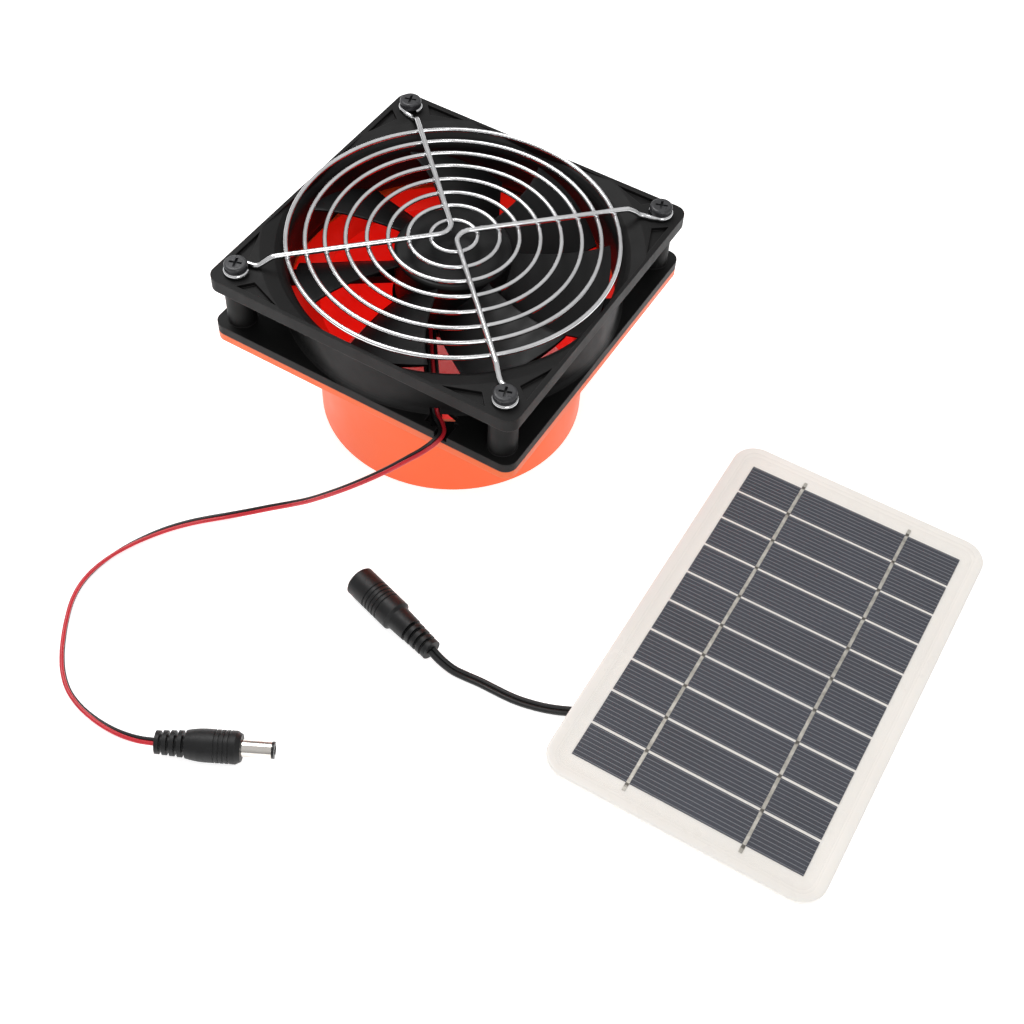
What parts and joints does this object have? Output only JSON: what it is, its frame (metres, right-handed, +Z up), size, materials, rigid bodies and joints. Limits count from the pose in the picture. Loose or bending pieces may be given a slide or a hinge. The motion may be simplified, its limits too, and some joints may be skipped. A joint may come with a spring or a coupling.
{
  "type": "solar attic fan",
  "caption": "Axial fan with wire guard on a round duct adapter, its lead and plug, and a separate solar panel with a socket lead.",
  "frame": {"origin": "centre of the duct spigot's lower rim, on the surface the fan stands on", "axes": "+Z up along the fan's axis, +X towards the solar panel, -Y towards the side the lead leaves"},
  "size_m": [0.2653, 0.2447, 0.0799],
  "materials": {
    "orange_plastic": "smooth satin moulding, orange",
    "frame_plastic": "black moulded plastic, fine matt grain",
    "impeller_plastic": "black moulded plastic, satin",
    "guard_wire": "bright plated wire",
    "black_screw": "black oxide steel",
    "zinc_steel": "zinc plated",
    "polished_steel": "ground shaft",
    "pressed_steel": "pressed sheet",
    "ferrite": "bonded ferrite",
    "nylon": "natural nylon",
    "bronze": "sintered bronze",
    "seal_rubber": "oil resistant rubber",
    "lamination": "stacked steel sheet",
    "enamel_copper": "enamelled copper wire",
    "board_green": "green circuit board",
    "component_black": "moulded component",
    "sticker": "blank silver foil label",
    "lead_red_black": "twin wire, one red and one black sleeve",
    "lead_black": "twin wire, black sleeves",
    "grip_black": "moulded black grip",
    "nickel": "nickel plated",
    "gold_plate": "gold flashed contact",
    "panel_white": "milky white laminate",
    "cell_blue": "dark blue-grey silicon with silver fingers",
    "ribbon_silver": "tinned ribbon",
    "clear_film": "clear laminate film, slightly milky",
    "box_black": "black moulded box"
  },
  "bodies": {
    "fan": {"duct_adapter": "orange_plastic", "fan_frame": "frame_plastic", "thrust_washer": "nylon", "oil_seal": "seal_rubber", "sleeve_bearing": "bronze", "stator_core": "lamination", "stator_insulators": "nylon", "stator_coils": "enamel_copper", "circuit_board": "board_green", "board_parts": "component_black", "base_sticker": "sticker", "guard_rings": "guard_wire", "guard_spokes": "guard_wire", "guard_screws": "black_screw", "guard_nuts": "zinc_steel", "lead_inner": "lead_red_black", "fan_lead": "lead_red_black", "plug_grip": "grip_black", "plug_barrel": "nickel", "plug_insulator": "component_black", "plug_contact": "gold_plate"},
    "impeller": {"impeller": "impeller_plastic", "rotor_yoke": "pressed_steel", "rotor_magnet": "ferrite", "motor_shaft": "polished_steel", "shaft_clip": "nylon"},
    "panel": {"jack_grip": "grip_black", "jack_liner": "nickel", "jack_pin": "nickel", "panel_lead": "lead_black", "panel_board": "panel_white", "solar_cells": "cell_blue", "bus_ribbons": "ribbon_silver", "panel_cover": "clear_film", "junction_box": "box_black", "solder_tabs": "ribbon_silver", "blocking_diode": "component_black"}
  },
  "joints": [
    {"name": "impeller_spin", "type": "hinge", "parent": "fan", "child": "impeller", "pos_m": [0, 0, 0.062], "axis": [0, 0, 1], "continuous": true},
    {"name": "panel_slide", "type": "slide", "parent": "fan", "child": "panel", "axis": [1, 0, 0], "range_m": [0, 0.15]}
  ]
}
